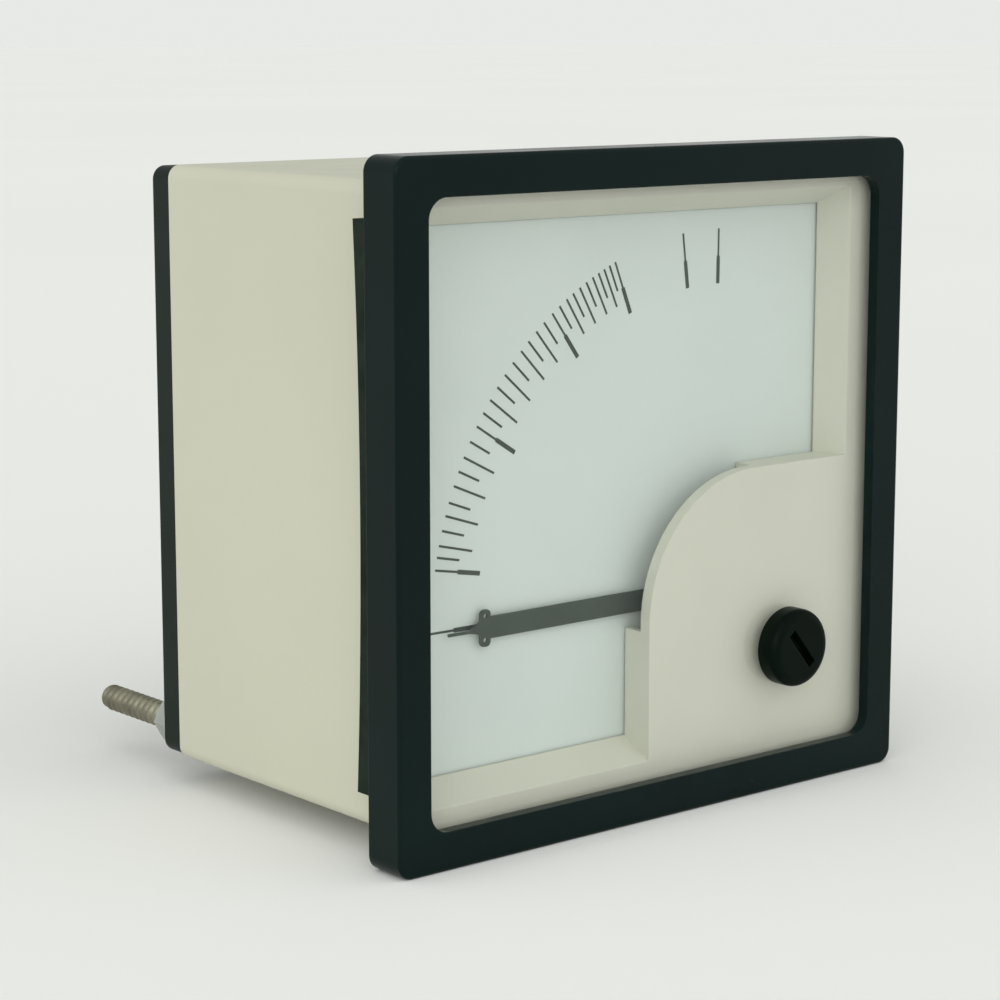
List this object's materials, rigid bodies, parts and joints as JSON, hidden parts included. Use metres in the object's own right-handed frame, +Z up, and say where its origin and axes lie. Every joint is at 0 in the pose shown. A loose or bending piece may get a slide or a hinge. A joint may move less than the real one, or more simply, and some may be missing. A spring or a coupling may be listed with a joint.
{
  "type": "analogue panel meter",
  "caption": "Square flush-mounting analogue panel meter with a quarter-circle scale, corner-pivoted pointer, slotted zero adjuster, cream case and rear terminal studs.",
  "frame": {"origin": "centre of the panel seating plane, which is the rear face of the bezel flange", "axes": "+Y backwards through the panel along the case, +Z up, +X to the right seen from the front"},
  "size_m": [0.096, 0.0863, 0.096],
  "materials": {
    "bezel_black": "gloss moulded",
    "glass_clear": "clear flat pane",
    "mask_cream": "fine satin moulded",
    "seal_black": "matt",
    "case_cream": "satin moulded",
    "cover_black": "satin moulded",
    "steel_screw": "zinc plated",
    "stud_plated": "nickel plated",
    "nut_plated": "zinc plated",
    "tag_tinned": "tinned",
    "link_copper": "bare stiff copper wire",
    "dial_white": "satin white paint",
    "frame_metal": "rolled sheet",
    "brass_part": "turned",
    "bobbin_plastic": "moulded",
    "winding_copper": "enamelled copper wire",
    "iron_sheet": "annealed soft iron",
    "pointer_paint": "flat grey-green paint",
    "spring_bronze": "phosphor bronze strip",
    "knob_black": "satin moulded"
  },
  "bodies": {
    "housing": {"bezel": "bezel_black", "window_glass": "glass_clear", "mask_frame": "mask_cream", "side_seal_left": "seal_black", "side_seal_right": "seal_black", "case_shell": "case_cream", "rear_cover": "cover_black", "rear_cover_screws": "steel_screw", "standoff_screws": "steel_screw", "terminal_stud_left": "stud_plated", "terminal_stud_right": "stud_plated", "terminal_washers": "nut_plated", "terminal_nuts": "nut_plated", "link_tags": "tag_tinned", "link_nuts": "nut_plated", "coil_link_left": "link_copper", "coil_link_right": "link_copper", "dial_plate": "dial_white", "dial_screws": "steel_screw", "movement_front_plate": "frame_metal", "movement_rear_plate": "frame_metal", "movement_pillars": "brass_part", "pillar_screws": "steel_screw", "movement_standoffs": "brass_part", "front_bridge": "frame_metal", "front_bearing_screw": "brass_part", "rear_bearing_screw": "brass_part", "coil_bobbin": "bobbin_plastic", "coil_winding": "winding_copper", "fixed_iron": "iron_sheet", "damping_chamber": "frame_metal"},
    "pointer_assembly": {"pointer": "pointer_paint", "pointer_hub": "brass_part", "balance_weights": "brass_part", "pointer_spindle": "steel_screw", "moving_iron": "iron_sheet", "damping_vane": "frame_metal", "hairspring": "spring_bronze"},
    "adjuster": {"zero_adjuster": "knob_black", "adjuster_clip": "steel_screw"},
    "regulator": {"regulator_arm": "frame_metal"}
  },
  "joints": [
    {"name": "pointer_deflection", "type": "hinge", "parent": "housing", "child": "pointer_assembly", "pos_m": [0.0176, 0.0012, -0.01765], "axis": [0, 1, 0], "range_deg": [0, 91], "stiffness_Nm_per_rad": 0.00003, "deforming": ["hairspring"]},
    {"name": "zero_adjustment", "type": "hinge", "parent": "housing", "child": "adjuster", "pos_m": [0.02615, -0.005, -0.0267], "axis": [0, 1, 0], "range_deg": [-40, 40]},
    {"name": "regulator_swing", "type": "hinge", "parent": "housing", "child": "regulator", "pos_m": [0.0176, -0.0002, -0.01765], "axis": [0, 1, 0], "range_deg": [-4.5, 4.5]}
  ],
  "couplings": [
    {"joint": "regulator_swing", "follows": "zero_adjustment", "ratio": -0.102}
  ]
}
